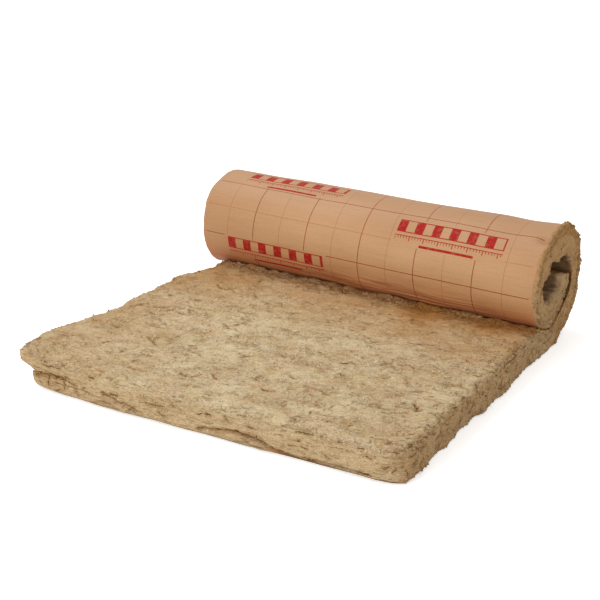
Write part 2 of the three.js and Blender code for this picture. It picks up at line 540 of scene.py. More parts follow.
# the broad bare side: matted, gently lumpy, drawn out along the roll, with flakes of three sizes
FLAKES = ((0.075, 0.05, 0.0022), (0.05, 0.03, 0.002), (0.034, 0.022, 0.0016))  # across, along, height
KNOTS = 0.003
warp_x = 0.35 * noise(*matted(0.07, 0.06), 41)
warp_u = 0.35 * noise(*matted(0.07, 0.06, 30), 47)
flat_lumps = 0.0052 * clouds(*matted(0.21, 0.14), 5, gain=0.55)
flat_knots = KNOTS * clouds(*matted(0.052, 0.034, 40), 2, gain=0.6)
flat_fine = 0.0026 * noise(*matted(0.019, 0.012, 11), 9) + 0.0014 * noise(*matted(0.009, 0.007), 3)
flakes = np.zeros(len(U))
for k, (size_x, size_u, height) in enumerate(FLAKES):
    n = noise(grain_x / size_x + warp_x + 13 * k, grain_u / size_u + warp_u, 60 + 7 * k)
    flakes += height * (smooth(-0.1, 0.1, n - 0.15) - 0.5)
pock = smooth(0.36, 0.7, noise(grain_x / 0.024 + 7 + warp_x, grain_u / 0.016 + warp_u, 33)) * busy
seam = crease(grain_x / 0.09 + 5 + warp_x, grain_u / 0.045 + warp_u, 15, 0.07)
seam *= smooth(0.05, 0.4, noise(*matted(0.11, 0.09, 9), 27))
flat_relief = (
    flat_lumps
    + flat_knots * (0.65 + 0.45 * busy)
    + flat_fine * (0.5 + 0.55 * busy)
    + flakes * (0.6 + 0.5 * busy)
    - 0.004 * pock
    - 0.0034 * seam * (0.3 + 0.7 * busy)
)

# the cut sides: torn along the layers of the felt, in longer strips on the front
FRONT_STRIPS = 0.0042
side_lumps = 0.005 * clouds(*felted(0.13, 0.07, 3), octaves=2)
side_layers = 0.0034 * clouds(X / 0.055 + 3, wound_run / 0.075, depth / 0.0105, octaves=2, gain=0.6)
strip_level = depth / 0.01 + 5 + 0.5 * noise(X / 0.11, 2, 6)
front_layers = FRONT_STRIPS * clouds(X / 0.19 + 3, 0, strip_level)
front_layers *= 1 - 0.75 * smooth(0.28, 0.42, X) * smooth(0.05, 0.072, depth)
side_layers = side_layers + (front_layers - side_layers) * on_front
side_tears = 0.002 * clouds(*felted(0.014, 0.007), octaves=2) * (1 - 0.55 * on_front)
split = crease(X / 0.17 + 2, wound_run / 0.17, depth / 0.019 + 8, 0.07)
split *= smooth(-0.1, 0.25, noise(*felted(0.22, 0.05, 60)))
split *= 1 - 0.85 * smooth(-0.94, -1.02, U) * smooth(0.3, 0.5, X)
side_pits = smooth(0.35, 0.7, noise(*felted(0.02, 0.01, 90))) * (1 - 0.9 * on_front)
side_relief = side_lumps + side_layers + side_tears - 0.004 * split - 0.0035 * side_pits
# torn, fluffed rims where the bare side turns into the cut sides
to_rim = np.minimum(HALF - abs(X), np.where(U < 0, U - U_FRONT, np.inf))
near_rim = np.maximum(np.exp(-to_rim / 0.02) * topness, np.exp(-room / 0.016) * sideness) * (T > 0.4)
rim_noise = 0.0085 * noise(*felted(0.03, 0.03, 14)) + 0.0065 * noise(*felted(0.013, 0.013, 44))
rim_rag = near_rim * (0.45 + 0.55 * right_rim) * (1 - 0.5 * on_front) * rim_noise

# Torn places in millimetres. Most were picked in the photo and measured with the fitted camera,
# and some of those were then moved. A line's points are x and height on the front, and x and u
# on the bare side.
LONG_SPLIT = (-11, 22, 63, 28, 100, 35, 144, 34, 190, 26, 229, 16, 259, 14)
# its darkest part, along the lip that overhangs it, laid on as dark slivers of painted shade
SPLIT_LIP = (74, 37, 105, 42, 129, 41, 155, 40, 181, 35, 208, 30)
# cracks in the front: half width, depth, line
FRONT_CRACKS = [
    (4.2, 14, *LONG_SPLIT),
    (3, 9, -335, 44, -303, 48, -274, 32, -245, 32, -214, 22, -194, 19),
    (4.8, 16, -660, 50, -582, 47, -550, 53, -525, 56, -505, 57, -467, 61),
    (3.2, 9, 320, 12, 380, 14, 439, 16, 524, 13),
]
# finer tears in the front
FRONT_TEARS = [
    (-535, 92, -515, 94),
    (-519, 80, -498, 88, -470, 90),
    (-582, 41, -550, 48, -525, 50),
    (-505, 51, -467, 55),
    (-449, 53, -436, 53),
    (-378, 92, -360, 94),
    (-335, 44, -303, 48, -274, 32, -245, 32, -214, 24),
    (-182, 57, -149, 55, -118, 61),
    LONG_SPLIT,
    (-10, 62, 7, 69),
    (277, 43, 296, 44),
    (296, 90, 347, 92),
    (320, 16, 380, 17),
    (419, 18, 439, 19),
    (478, 12, 524, 14),
    (-523, 53, -523, 36, -526, 20),
    (-467, 57, -461, 43, -466, 25),
]
# hollows picked in the bare side: x, u, half length, half width, depth
PITS = [
    (528, -794, 12, 10, 14),
    (584, -648, 10, 12, 9),
    (598, -559, 10, 14, 10),
    (600, -880, 12, 16, 8),
]
# torn marks in the bare side: half width, depth, line
MARKS = [
    (4.5, 6, -522, -584, -495, -573, -475, -556, -456, -540),
    (5, 6, -249, -564, -220, -574, -200, -553),
    (4.5, 6, 194, -814, 217, -814, 244, -821, 271, -834),
    (5.5, 7, 206, -622, 227, -610, 251, -619),
    (4.5, 6, 121, -774, 147, -790),
    (4.5, 5, 37, -500, 59, -478),
    (5, 6, 372, -563, 381, -542, 406, -559),
    (5.5, 9, -315, -953, -296, -949, -268, -948, -244, -946),
    (5.5, 9, -382, -758, -354, -771, -331, -787),
    (4.5, 6, -554, -895, -545, -872, -520, -866),
    (4, 5, -156, -917, -122, -920, -98, -890),
    (4.5, 5, -565, -596, -537, -569),
    (4, 5, 98, -893, 139, -890),
    (4, 5, -366, -1010, -338, -1012),
    (4, 5, -73, -875, -54, -894),
    (4, 5, -447, -317, -413, -335, -372, -331),
    (4, 5, -300, -310, -268, -345),
    (5, 12, 498, -762, 516, -779, 531, -798),
]


def dug(rows, px, py, reach, taper):
    """How deep the lines of rows are dug at each point; taper widens and narrows them along their way."""
    total = np.zeros(len(px))
    for half_width, deep, *line in (millimetres(*row) for row in rows):
        line = np.array(line).reshape(-1, 2)
        best, way = np.full(len(px), np.inf), np.zeros(len(px))
        for k, ((ax, ay), (vx, vy)) in enumerate(zip(line, np.diff(line, axis=0))):
            t = np.clip(((px - ax) * vx + (py - ay) * vy) / (vx * vx + vy * vy), 0, 1)
            d = np.hypot(px - ax - t * vx, py - ay - t * vy)
            way = np.where(d < best, (k + t) / (len(line) - 1), way)
            best = np.minimum(best, d)
        total += deep * smooth(reach, 0.3, best / (half_width * taper(way)))
    return total


def bowed(way):
    return 0.35 + 0.65 * np.sin(np.pi * np.clip(way, 0.02, 0.98)) ** 0.5


def pointed(way):
    return 1.1 - abs(way - 0.5)


on_bare = topness * (T > 0.6)
wander = 0.0022 * noise(X / 0.018, depth / 0.02, 71)
carved = on_front * dug(FRONT_CRACKS, base[:, 0], depth + wander, 1.6, bowed)
frayed = 0.003 * noise(X / 0.012, U / 0.012, 77)
pitted = on_bare * dug(MARKS, X, U + frayed, 1.5, pointed)
for pit in PITS:
    px, pu, length_x, length_u, deep = millimetres(*pit)
    d = np.hypot((X - px) / length_x, (U - pu) / length_u) + 0.25 * noise(X / 0.01, U / 0.01, 5)
    pitted += on_bare * deep * smooth(1.4, 0.3, d)

# the split that runs round the front left corner under the overhanging upper layers
left_face = smooth(0.4, 0.8, -normal[:, 0]) * smooth(-0.45, -0.75, U)
split_level = 0.47 + 0.03 * noise(U / 0.09, 4, 8)
left_split = left_face * 0.016 * smooth(0.075, 0.015, abs(T - split_level))

# the wool's layers read as rings on the ends of the roll: level through the blanket, strength
RINGS = ((0.25, 1), (0.5, 0.55), (0.75, 0.5))
end_face = sideness * smooth(0.03, 0.12, U)
side_relief = side_relief * (1 - 0.35 * end_face)
ring_drift = 0.035 * noise(wound_run / 0.11, 3, 9)
rings = np.zeros(len(U))
for level, strength in RINGS:
    rings += end_face * strength * bell(T - level - ring_drift, 0, 0.042)

relief = topness * flat_relief + sideness * side_relief + rim_rag - 0.003 * rings
rim_curl = smooth(0.59, 0.606, abs(X)) * smooth(0.5, 0, T) * np.where(X > 0, 1, 0.12)
rim_rough = 0.006 * noise(wound_run / 0.05, X / 0.02, 51)
rim_rough += 0.003 * noise(wound_run / 0.022, X / 0.01, 57)
rim_out = hermite(np.clip(U / DEGREE, 0, WOUND_END), *RIM_OUT) + rim_rough
relief = relief + (U > 0) * rim_curl * rim_out * np.clip(under + 0.5 * sideness, 0, 1)
covered = (under > 0.25) & (abs(X) < FLAT_X)
relief = np.where(covered, -0.0016 - 0.0006 * abs(flat_knots / KNOTS), relief)
inside = smooth(0, 0.15, U) * (T > 0.5) * topness
relief = np.where(inside > 0.5, np.clip(relief, -0.009, 0.004), relief)
# between the two turns the wool is drawn back, so that the gap stays open at the ends
between_turns = band(U, -0.07, -0.01, 80 * DEGREE, 95 * DEGREE) * smooth(0.72, 0.95, T)
relief = np.where(between_turns > 0.5, np.minimum(relief, 0), relief)
relief -= 0.006 * between_turns * smooth(0.5, 0.6, abs(X)) * (topness > 0.3)
sunk = carved + pitted + left_split
wool_points = base + normal * (relief - 0.35 * sunk)[:, None]
wool_points[:, 1] += 0.75 * carved
wool_points[:, 2] -= 0.65 * pitted
wool_points[:, 0] += 0.65 * left_split

# keeps the torn left side within the part's own width, without flattening it
LEFT_MOST, LEFT_ROOM = -0.657, 0.012
past_left = np.minimum(wool_points[:, 0] - (LEFT_MOST + LEFT_ROOM), 0)
held_left = LEFT_MOST + LEFT_ROOM * np.exp(past_left / LEFT_ROOM)
wool_points[:, 0] = np.where(past_left < 0, held_left, wool_points[:, 0])

# the wool swells up against the paper just in front of the nip
PAPER_CLEAR, SWELL_MOST, WOOL_LOWEST = 0.0012, 0.011, 0.0006
nip_x = np.linspace(-0.61, 0.61, 62)
nip_y = np.linspace(-0.15, -0.05, 41)
nip_u = DEGREE * np.linspace(284, 344, 61)
ceiling = []
for x in nip_x:
    at = join([np.full((len(nip_u), 1), x), facing_side.at(nip_u)], 1)
    at = push_out(at, nip_u, roll_set(nip_u, np.full(len(nip_u), x), 1))
    ceiling.append(np.interp(nip_y, at[:, 1] - AXIS_Y, at[:, 2]))
ceiling = np.array(ceiling).T
columns = (wool_points[:, 0] - nip_x[0]) / (nip_x[1] - nip_x[0])
rows = (wool_points[:, 1] - AXIS_Y - nip_y[0]) / (nip_y[1] - nip_y[0])
ceiling_grid = np.arange(ceiling.size).reshape(ceiling.shape)
paper_z = on_grid(ceiling_grid, ceiling.reshape(-1, 1), rows, columns)[:, 0]
at_nip = on_bare * smooth(-0.14, -0.108, U) * smooth(-0.06, -0.075, U)
swell = np.clip(paper_z - PAPER_CLEAR - wool_points[:, 2], 0, SWELL_MOST)
puffs = 0.75 * noise(X / 0.045, U / 0.05, 71) + 0.25 * noise(X / 0.012, U / 0.012, 73)
swell *= np.clip(0.62 + puffs, 0, 1)
wool_points[:, 2] = np.maximum(wool_points[:, 2] + at_nip * swell, WOOL_LOWEST)

# painted shade at each point (highlight below zero), painted shade deep in the roll, brown painted shade
strips = front_layers / FRONT_STRIPS
# painted shade in pits, seams, splits, cracks and low relief; painted highlight on high relief and raised
# strips
shade = (
    0.3 * topness * (pock + 0.6 * seam)
    + 0.45 * sideness * (split + side_pits)
    + 0.35 * on_front * smooth(0.2, 0.55, -strips)
    - 0.25 * on_front * smooth(0.2, 0.55, strips)
    + 42 * np.clip(sunk, 0, 0.02)
    - 75 * np.clip(relief - sideness * side_lumps - topness * flat_lumps, -0.006, 0.006)
)
# painted shade in the grooves between the layers on the roll's ends
shade = shade * (1 - 0.45 * end_face) + 0.42 * rings
# painted shade along the low front edge towards the right, under its rounded bottom
low_edge = on_front * smooth(0.016, 0.003, depth)
shade += 0.75 * low_edge * smooth(0.16, 0.3, X + 0.05 * noise(X / 0.06, 1, 2))
mouth = smooth(0.606, 0.59, abs(X))
hollow = smooth(60 * DEGREE, 100 * DEGREE, U) * (T > 0.9) * mouth
inner = np.maximum(hollow, smooth(U_END - 0.02, U_END, U) * mouth)
mouth_rag = 0.01 * noise(X / 0.016, wound_run / 0.013, 12)
# painted shade deep in the hollow, darker further in, and in the gap between the turns at the ends
deep_shade = inner * smooth(0.604, 0.588, abs(X) + mouth_rag)
deep_shade = deep_shade * np.clip(0.9 + 0.8 * noise(X / 0.07, wound_run / 0.011, 3), 0.35, 1.15)
deep_shade = np.maximum(deep_shade, at_gap * topness * smooth(0.611, 0.603, abs(X)) * (U > -0.05))
# painted shade inside the hollow and in the gap between the two turns
shade = np.clip(shade + 0.25 * inner + 0.5 * between_turns * topness, -1, 1)
bare_laid = topness * (T > 0.5) * (U < NIP + 0.05)
# painted shadow on the laid wool just in front of the nip, where the roll rests on it
contact = smooth(-0.205, -0.115, U + 0.018 * noise(X / 0.035, 1, 4))
shade = shade + 0.62 * bare_laid * contact * (0.55 + 0.45 * smooth(-0.5, 0.2, X))
# painted shade: the laid wool is browner and darker towards the roll, most at the right
roll_shade = smooth(-0.56, -0.12, U) * (0.66 + 0.38 * smooth(-0.4, 0.3, X))
# a little browner towards each end of the laid wool, with a random spread, plus the painted shade by the roll
toned = 0.01 + 0.08 * smooth(-0.1, 0.5, X) + 0.2 * smooth(-0.2, -0.5, X) + 0.7 * roll_shade
toned = toned * (1 + 0.5 * noise(X / 0.16, U / 0.11, 88))
# brown painted shade on the faces that look along the roll, inside the hollow, on the roll's ends
browned = np.maximum(0.3 * smooth(0.3, 0.9, abs(normal[:, 0])), 0.36 * inner)
on_end = (0.56 + 0.14 * smooth(0.4, 0.1, T)) * (U > 0) * smooth(0.588, 0.6, abs(X))
# (less on the front of the right end), along the right rim, and on the laid wool as toned gives
browned = np.maximum(browned, on_end) * (1 - 0.3 * smooth(235, 290, U / DEGREE) * smooth(0.588, 0.6, X))
browned = np.maximum(browned, 0.42 * near_rim * right_rim * (U < NIP))
browned = np.clip(np.maximum(browned, toned * bare_laid), 0, 1)

# ---- materials


def colour(rgb):
    """sRGB 0-255 to linear RGBA."""
    linear = [(c / 255 / 12.92) if c <= 10 else ((c / 255 + 0.055) / 1.055) ** 2.4 for c in rgb]
    return (*linear, 1)


class Nodes:
    """A node tree, with short ways to write it. lay is where its noises are taken."""

    def __init__(self, owner, shader="Principled BSDF"):
        owner.use_nodes = True
        self.owner, self.tree = owner, owner.node_tree
        self.shader = self.tree.nodes[shader].inputs
        self.lay = None

    def put(self, socket, value):
        if isinstance(value, bpy.types.NodeSocket):
            self.tree.links.new(value, socket)
        elif value is not None:
            socket.default_value = value

    def node(self, kind, fed, **settings):
        """A node's outputs, with its inputs fed by name, or in order; None leaves one alone."""
        node = self.tree.nodes.new("ShaderNode" + kind)
        for name, setting in settings.items():
            setattr(node, name, setting)
        for key, value in fed.items() if isinstance(fed, dict) else enumerate(fed):
            self.put(node.inputs[key], value)
        return node.outputs

    def set(self, **fed):
        """Feeds the shader's inputs; _ stands for a space."""
        for name, value in fed.items():
            self.put(self.shader[name.replace("_", " ")], value)

    def math(self, operation, *fed):
        return self.node("Math", fed, operation=operation)[0]

    def times(self, first, *others):
        for other in others:
            first = self.math("MULTIPLY", first, other)
        return first

    def most(self, first, *others):
        for other in others:
            first = self.math("MAXIMUM", first, other)
        return first

    def ramp(self, value, start, full, low=0, high=1):
        return self.node("MapRange", (value, start, full, low, high), interpolation_type="SMOOTHSTEP")[0]

    def mix(self, factor, a, b):
        """Colour a, covered by colour b."""
        a, b = (v if isinstance(v, bpy.types.NodeSocket) else colour(v) for v in (a, b))
        return self.node("Mix", {0: factor, 6: a, 7: b}, data_type="RGBA")[2]

    def cover(self, under, *rows):
        """Colours laid over one another, each by its share."""
        for share, rgb in rows:
            under = self.mix(share, under, rgb)
        return under

    def layers(self, under, *rows):
        """The same by fields: each row says where its field starts, where it is full, share and colour."""
        return self.cover(under, *((self.ramp(*row[:3], 0, row[3]), row[4]) for row in rows))

    def grain(self, scale, offset, detail, rough, twist=0):
        """Noise over the lay, stretched by scale."""
        place = self.node("Mapping", {"Vector": self.lay, "Location": offset, "Scale": scale})[0]
        fed = {"Vector": place, "Scale": 1, "Detail": detail, "Roughness": rough, "Distortion": twist}
        return self.node("TexNoise", fed)[0]

    def attribute(self, name):
        return self.node("Attribute", (), attribute_name=name)["Fac"]

    def bump(self, height, distance, strength, after=None):
        fed = {"Strength": strength, "Distance": distance, "Height": height, "Normal": after}
        return self.node("Bump", fed)[0]

    def seen(self):
        """1 to camera, glossy and transmission rays, which see the pale backdrop."""
        paths = self.node("LightPath", ())
        return self.most(*(paths[f"Is {kind} Ray"] for kind in ("Camera", "Glossy", "Transmission")))


def wool_material():
    """Matted strands on the bare side, felt layers on the cut sides, curls and flecks over both."""
    m = Nodes(bpy.data.materials.new("mineral_wool"))
    # unrolled coordinates, metres: across, along and through the blanket
    m.lay = m.node("CombineXYZ", [m.attribute(name) for name in ("across", "along", "through")])[0]
    depth_of_shade, sideways, torn = m.attribute("shade"), m.attribute("sideways"), m.attribute("busy")
    broad = m.grain((5, 7, 30), (0, 0, 0), 3, 0.55)
    hue = m.grain((9, 13, 40), (5, 9, 2), 3, 0.55, 0.6)
    cloud = m.grain((15, 24, 80), (3, 1, 2), 4, 0.6, 0.8)
    patch = m.grain((24, 34, 120), (8, 2, 6), 3, 0.55, 1)
    strand = m.grain((66, 140, 240), (9, 4, 0), 5, 0.8, 0.6)
    layer = m.grain((32, 44, 440), (1, 8, 5), 5, 0.72, 0.6)
    fleck = m.grain((170, 165, 400), (2, 2, 9), 2, 0.7, 0.5)
    curl = m.grain((34, 62, 150), (4, 7, 1), 3, 0.62, 1.6)
    hair = m.grain((600, 1000, 1200), (5, 5, 5), 2, 0.7, 1.2)

    off_curl = m.math("ABSOLUTE", m.math("SUBTRACT", curl, 0.5))
    clustered = m.times(m.ramp(patch, 0.5, 0.57), m.ramp(torn, 0.1, 0.7, 0.35, 1))
    curl_line = m.times(m.ramp(off_curl, 0.034, 0.01), m.times(clustered, m.ramp(fleck, 0.36, 0.52)))
    curl_halo = m.times(m.ramp(off_curl, 0.06, 0.008), clustered)

    base = m.layers(
        m.mix(m.ramp(broad, 0.38, 0.64), (188, 166, 131), (203, 185, 151)),
        (hue, 0.54, 0.66, 0.55, (199, 170, 138)),
        (hue, 0.46, 0.34, 0.55, (190, 172, 129)),
        (cloud, 0.52, 0.68, 0.55, (211, 196, 165)),
        (cloud, 0.46, 0.32, 0.6, (177, 143, 97)),
        (patch, 0.53, 0.68, 0.42, (187, 156, 112)),
    )
    pale = m.times(m.ramp(strand, 0.52, 0.66), m.ramp(torn, 0, 1, 0.42, 0.84))
    dark = m.times(m.ramp(strand, 0.48, 0.35), m.ramp(torn, 0, 1, 0.27, 0.63))
    top = m.mix(dark, m.mix(pale, base, (226, 208, 171)), (146, 100, 48))
    side = m.layers(
        m.mix(0.38, base, (199, 162, 113)),
        (layer, 0.52, 0.68, 0.55, (222, 198, 154)),
        (layer, 0.47, 0.33, 0.7, (152, 108, 60)),
    )
    flecked = m.ramp(torn, 0, 1, 0.8, 1)
    tone = m.cover(
        m.mix(sideways, top, side),
        (m.times(curl_halo, 0.32), (180, 140, 90)),
        (m.times(curl_line, 0.52), (104, 62, 24)),
        (m.times(m.ramp(fleck, 0.57, 0.7), flecked), (230, 211, 172)),
        (m.times(m.ramp(fleck, 0.43, 0.3), flecked), (130, 84, 38)),
        # painted shade from the shade attribute, and painted highlight where it is below zero
        (m.ramp(depth_of_shade, 0.05, 0.95, 0, 0.78), (96, 54, 16)),
        (m.ramp(depth_of_shade, -0.05, -0.5, 0, 0.32), (222, 200, 156)),
        # brown painted shade
        (m.attribute("browned"), (164, 115, 62)),
        # dark painted shade deep in the hollow and in the gap between the turns
        (m.attribute("deep"), (88, 48, 5)),
    )

    on_top, on_side = m.math("MULTIPLY_ADD", fleck, 0.45, strand), m.math("MULTIPLY_ADD", fleck, 0.35, layer)
    relief = m.node("Mix", {0: sideways, 2: on_top, 3: on_side}, data_type="FLOAT")[0]
    relief = m.times(relief, m.ramp(torn, 0, 1, 0.48, 0.95))
    felt = m.bump(m.math("MULTIPLY_ADD", curl_line, -0.35, relief), 0.006, 0.75)
    m.set(Base_Color=tone, Roughness=0.94, Specular_IOR_Level=0.01, Normal=m.bump(hair, 0.0014, 0.5, felt))
    return m.owner


DEEPEST = 0.49  # the share of the dark painted shade laid on where it is deepest in the hollow
wool_look = wool_material()
wool = make_mesh("blanket_wool", wool_points, wool_faces, wool_look)
across, along = askew(wound_run)
torn = np.maximum(busy, 0.45 * sideness) * (1 - 0.6 * end_face)
paint(wool, shade=shade, sideways=sideness, deep=DEEPEST * deep_shade, busy=torn)
paint(wool, across=across, along=along, through=depth)
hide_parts("wool_blanket")
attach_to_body(wool, "root")

# ---- loose flocks and fibres

wool_normal = vertex_normals(wool_points, wool_faces)
# an octahedron, and the lump that halving its edges makes of it; faces are read from inside
BALL = np.array([[sign * (axis == k) for k in range(3)] for axis in range(3) for sign in (-1, 1)], float)
OCTA = [(1, 3, 5), (3, 0, 5), (0, 2, 5), (2, 1, 5), (3, 1, 4), (0, 3, 4), (2, 0, 4), (1, 2, 4)]
lump_points, lump_faces, middles = list(BALL), [], {}
for corners in OCTA:
    halves = []
    for a, b in zip(corners, corners[1:] + corners[:1]):
        edge = (min(a, b), max(a, b))
        if edge not in middles:
            middles[edge] = len(lump_points)
            lump_points.append(unit(BALL[a] + BALL[b]))
        halves.append(middles[edge])
    a, b, c = corners
    lump_faces += [(a, halves[0], halves[2]), (halves[0], b, halves[1]), (halves[2], halves[1], c), halves]
LUMP, LUMP_FACES, BALL_FACES = np.array(lump_points), np.array(lump_faces)[:, ::-1], np.array(OCTA)
extras = []  # for each batch: points, faces, the cage point that each point grew from, and its shade


def attach(points, faces, at, tone):
    """Adds a batch of small solids, one for each seed, which share their faces' pattern."""
    count = points.shape[1]
    first = sum(len(batch[0]) for batch in extras)
    faces = faces + first + count * np.arange(len(at))[:, None, None]
    at, tone = np.repeat(at, count), np.repeat(tone, count)
    extras.append((points.reshape(-1, 3), faces.reshape(-1, 3), at, tone))


def lumps(form, faces, uneven, at, middle, axes, tone):
    """Uneven lumps of one form, each stretched along three axes."""
    own_form = form[None] * (1 + uneven * rng.normal(size=(len(at), len(form), 1)))
    points = middle[:, None]
    for i, axis in enumerate(axes):
        points = points + own_form[..., i : i + 1] * axis[:, None]
    attach(points, faces, at, tone)


def seeds(weight, count):
    return rng.choice(len(weight), size=count, p=weight / weight.sum())


def directions(at, lean):
    """For each seed, a long direction that leans out of the surface by up to lean, and two across it."""
    n = wool_normal[at]
    r = rng.normal(size=(len(at), 3))
    r[:, 0] *= 1.6
    r = unit(r - n * (r * n).sum(1)[:, None])
    tilt = rng.uniform(0, lean, len(at))[:, None]
    d = r * np.cos(tilt) + n * np.sin(tilt)
    e = unit(np.cross(d, n))
    return d, e, np.cross(e, d)


LOOSE_SHADE = -0.05
STRAND_STEPS = 4
ROOTED = 0.002  # how deep a fibre starts in the wool


def flock(at, long, wide, thick, lean, lift):
    """Torn tufts lying on the wool."""
    d, e, f = directions(at, lean)
    a = rng.uniform(*long, len(at))[:, None]
    middle = wool_points[at] + wool_normal[at] * (lift * a)
    axes = (d * a, e * a * wide, f * a * thick)
    lumps(LUMP, LUMP_FACES, 0.18, at, middle, axes, np.full(len(at), LOOSE_SHADE))


def strands(at, long, radius, lean):
    """Single fibres: bowed, tapering, with three sides."""
    steps = STRAND_STEPS
    d, e, f = directions(at, lean)
    size = rng.uniform(*long, len(at))[:, None]
    bow = rng.normal(size=(len(at), 2)) * 0.35
    root = wool_points[at] - wool_normal[at] * ROOTED
    rings = []
    for t in np.arange(steps + 1) / steps:
        mid = root + d * size * t + (e * bow[:, :1] + f * bow[:, 1:]) * size * t * t
        for turn in range(3):
            a = 2 * math.pi * turn / 3
            rings.append(mid + (e * math.cos(a) + f * math.sin(a)) * (radius * (1 - 0.75 * t)))
    faces = [(0, 1, 2), (3 * steps + 2, 3 * steps + 1, 3 * steps)]
    for ring in range(0, 3 * steps, 3):
        for a, b in ((ring, ring + 1), (ring + 1, ring + 2), (ring + 2, ring)):
            faces += [(a, a + 3, b + 3), (a, b + 3, b)]
    attach(np.stack(rings, 1), np.array(faces), at, np.full(len(at), LOOSE_SHADE))


def nearest(grid, i, j):
    rows, columns = (np.round(v).astype(int).clip(0, size - 1) for v, size in zip((i, j), grid.shape))
    return grid[rows, columns]


def slivers(at, middle, axes, long, wide, flat, tone):
    """Narrow lumps along the first axis, flat times as thick as wide."""
    axes = [axis * size[:, None] for axis, size in zip(axes, (long, wide, flat * wide))]
    lumps(BALL, BALL_FACES, 0.2, at, middle, axes, tone)


# brown painted shade spread round each tear
HALO = ((0, 0, 0.5), (1, 0, 0.3), (-1, 0, 0.3), (0, 1, 0.3), (0, -1, 0.3))  # rows, columns, share
SLIVER_STEP = 0.003
# painted highlight: the lips beside a tear are paler
LIP_SHADE = -0.45
halo = np.zeros(len(wool_points))


def tear(grid, i, j, dark, size=1, broad=1.5, lips=0.55):
    """A torn mark along rows i and columns j of a grid: dark slivers in the tear for painted shade, paler
    lips beside it for painted highlight.
    """
    path = on_grid(grid, wool_points, i, j)
    run = run_of(path)
    k = max(2, int(run[-1] / (SLIVER_STEP * size)))
    s = (np.arange(k) + rng.uniform(0.1, 0.9, k)) / k * run[-1]
    i, j = np.interp(s, run, i), np.interp(s, run, j)
    i, j = i + rng.normal(size=k) * 0.12, j + rng.normal(size=k) * 0.12
    n = unit(on_grid(grid, wool_normal, i, j))
    way = np.array([np.interp(s + h, run, path[:, c]) for h in (-0.002, 0.002) for c in range(3)])
    d = (way[3:] - way[:3]).T + 0.001 * rng.normal(size=(k, 3))
    d = unit(d - n * (d * n).sum(1)[:, None])
    e = np.cross(n, d)
    middle = on_grid(grid, wool_points, i, j)
    at = nearest(grid, i, j)
    for rows, columns, share in HALO:
        np.maximum.at(halo, nearest(grid, i + rows, j + columns), share * dark)
    ends = np.sin(np.pi * np.clip(s / run[-1], 0.08, 0.92))
    wide = size * broad * rng.uniform(0.0009, 0.0019, k) * (0.5 + 0.6 * ends)
    long = size * rng.uniform(0.002, 0.0036, k)
    slivers(at, middle + n * 0.0004, (d, e, n), long, wide, 0.3, dark * rng.uniform(0.75, 1, k))
    lip = rng.uniform(size=k) < lips
    if lip.any():
        at, middle, d, e, n = at[lip], middle[lip], d[lip], e[lip], n[lip]
        k = len(at)
        side = np.where(rng.uniform(size=k) < 0.7, 1, -1)[:, None]
        wide = size * rng.uniform(0.001, 0.0022, k)
        aside = middle + e * side * (size * rng.uniform(0.002, 0.0036, k))[:, None] + n * 0.0006
        long = size * rng.uniform(0.0025, 0.005, k)
        slivers(at, aside, (d, e, n), long, wide, 0.7, np.full(k, LIP_SHADE))


def tears(grid, weight, count, along_columns, wander=0.45, dark=(0.45, 1), size=1):
    """Torn marks scattered over a grid, running mostly from column to column, or from row to row."""
    chance = weight[grid].ravel()
    for seed in rng.choice(chance.size, size=count, p=chance / chance.sum()):
        i, j = divmod(int(seed), grid.shape[1])
        k = int(rng.randint(2, 5)) + 1
        turn = rng.normal() * wander + np.cumsum(rng.normal(size=k) * wander)
        reach = rng.uniform(0.7, 1.8, k)
        onward, aside = np.cumsum(reach * np.cos(turn)), np.cumsum(reach * np.sin(turn))
        rows, columns = (aside, onward) if along_columns else (onward, aside)
        tear(grid, i + rows, j + columns, rng.uniform(*dark), size)


right_half = smooth(0.3, 0.58, X)
bare_top = topness * (U < -0.12)
by_nip = bare_top * smooth(-0.19, -0.13, U)
cut = sideness * (normal[:, 2] > -0.7)
low_rim = np.exp(-depth / 0.01) * sideness
roll_rim = (U > 0) * rim_curl * (abs(X) > 0.603) * (X > 0)
rims = near_rim * (U < NIP)
# where the tufts are, how many, their length, width, thickness, lean and lift
for weight, count, long, wide, thick, lean, lift in (
    (rims * right_half, 300, (0.003, 0.008), 0.6, 0.32, 0.7, 0.06),
    (rims * (1 - right_half), 120, (0.004, 0.009), 0.5, 0.26, 0.4, 0.02),
    (low_rim * (U < 0.3) * (normal[:, 0] > 0.5), 160, (0.003, 0.008), 0.5, 0.32, 0.5, 0.05),
    (cut * smooth(0.4, 0.8, abs(normal[:, 0])), 300, (0.004, 0.009), 0.5, 0.26, 0.4, 0.02),
    (bare_top * busy, 420, (0.004, 0.009), 0.5, 0.22, 0.3, 0.00),
    (by_nip, 160, (0.004, 0.01), 0.45, 0.3, 0.6, 0.1),
    (roll_rim, 240, (0.003, 0.006), 0.55, 0.4, 0.7, 0.06),
):
    flock(seeds(weight, count), long, wide, thick, lean, lift)
at_rims = rims * (0.3 + right_half) + 0.6 * low_rim * (X > 0.5) + 1.2 * roll_rim
strands(seeds(at_rims, 420), (0.008, 0.02), 0.00045, 1)
strands(seeds(bare_top * busy + 0.5 * cut, 700), (0.01, 0.024), 0.00045, 0.5)
strands(seeds(by_nip, 160), (0.01, 0.022), 0.0005, 0.9)

LIP_PASSES = 3  # dark slivers of painted shade are laid on the overhanging lip this many times
column = FINE_COLUMNS / (2 * HALF)
row = LAID_ROWS / (NIP - U_FRONT)


def on_front_grid(line):
    x, z = millimetres(*line).reshape(-1, 2).T
    return z / LOFT * LAYERS, (x + HALF) * column


